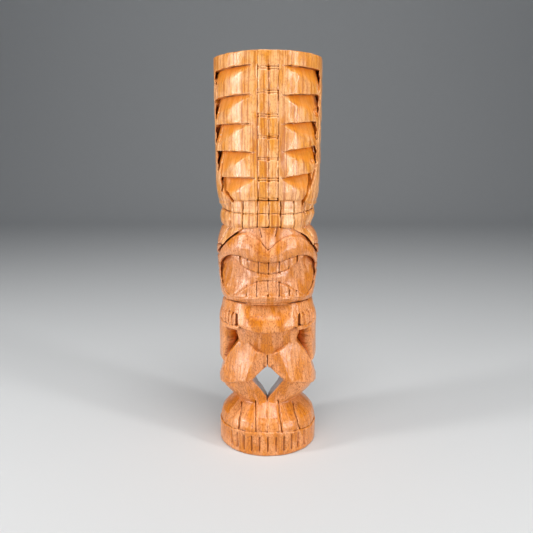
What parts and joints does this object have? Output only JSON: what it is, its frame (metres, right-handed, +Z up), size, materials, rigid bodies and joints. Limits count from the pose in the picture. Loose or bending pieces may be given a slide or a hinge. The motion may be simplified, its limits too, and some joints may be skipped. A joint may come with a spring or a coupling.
{
  "type": "tiki figure",
  "caption": "Carved hardwood tiki: a squatting figure with a wide toothed mouth and a tall notched headdress on a round plinth, to stand on a shelf.",
  "frame": {"origin": "centre of the flat underside of the plinth", "axes": "+Z up through the headdress, -Y towards the viewer (the figure's front), +X towards the figure's left hand"},
  "size_m": [0.0552, 0.0552, 0.203],
  "materials": {
    "crown_wood": "lacquered",
    "face_wood": "lacquered",
    "body_wood": "lacquered"
  },
  "bodies": {
    "root": {"abdomen": "body_wood", "base_plinth": "body_wood", "brow": "face_wood", "chest": "body_wood", "crown_core": "crown_wood", "crown_spine": "crown_wood", "head": "face_wood", "headband_lower": "crown_wood", "headband_upper": "crown_wood", "hips": "body_wood", "left_arm": "body_wood", "left_crown_edge": "crown_wood", "left_crown_leaves": "crown_wood", "left_foot": "body_wood", "left_hand": "body_wood", "left_shin": "body_wood", "left_temple": "face_wood", "left_thigh": "body_wood", "lower_lip": "face_wood", "lower_teeth": "face_wood", "right_arm": "body_wood", "right_crown_edge": "crown_wood", "right_crown_leaves": "crown_wood", "right_foot": "body_wood", "right_hand": "body_wood", "right_shin": "body_wood", "right_temple": "face_wood", "right_thigh": "body_wood", "upper_lip": "face_wood", "upper_teeth": "face_wood"}
  },
  "joints": []
}
